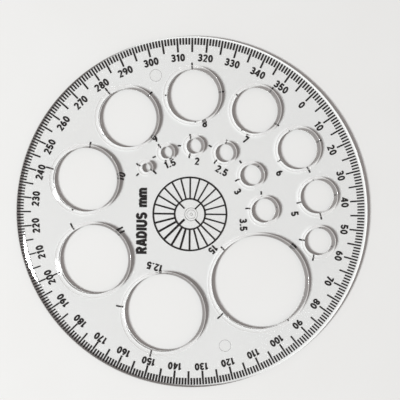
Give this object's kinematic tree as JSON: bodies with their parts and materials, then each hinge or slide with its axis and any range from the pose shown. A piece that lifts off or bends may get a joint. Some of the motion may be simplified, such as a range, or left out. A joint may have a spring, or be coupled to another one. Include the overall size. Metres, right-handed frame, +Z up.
{
  "type": "circle template",
  "caption": "Clear round plastic drawing template with graded circle holes, a full-circle degree scale round its rim and a printed centring wheel.",
  "frame": {"origin": "under the middle of the disc, on the surface the template lies on", "axes": "+Z up through the disc's thickness, +Y towards the 0 degree mark; degrees count clockwise seen from +Z"},
  "size_m": [0.115, 0.115, 0.0021],
  "materials": {
    "clear_plastic": "clear injection-moulded polystyrene, polished mould",
    "ink": "matte black printing ink"
  },
  "bodies": {
    "root": {"clear_plate": "clear_plastic", "centre_wheel_ink": "ink", "degree_scale_ink": "ink", "degree_figures_ink": "ink", "legend_ink": "ink", "radius_1_ink": "ink", "radius_1p5_ink": "ink", "radius_2_ink": "ink", "radius_2p5_ink": "ink", "radius_3_ink": "ink", "radius_3p5_ink": "ink", "radius_4_ink": "ink", "radius_5_ink": "ink", "radius_6_ink": "ink", "radius_7_ink": "ink", "radius_8_ink": "ink", "radius_9_ink": "ink", "radius_10_ink": "ink", "radius_11_ink": "ink", "radius_12p5_ink": "ink", "radius_15_ink": "ink"}
  },
  "joints": []
}
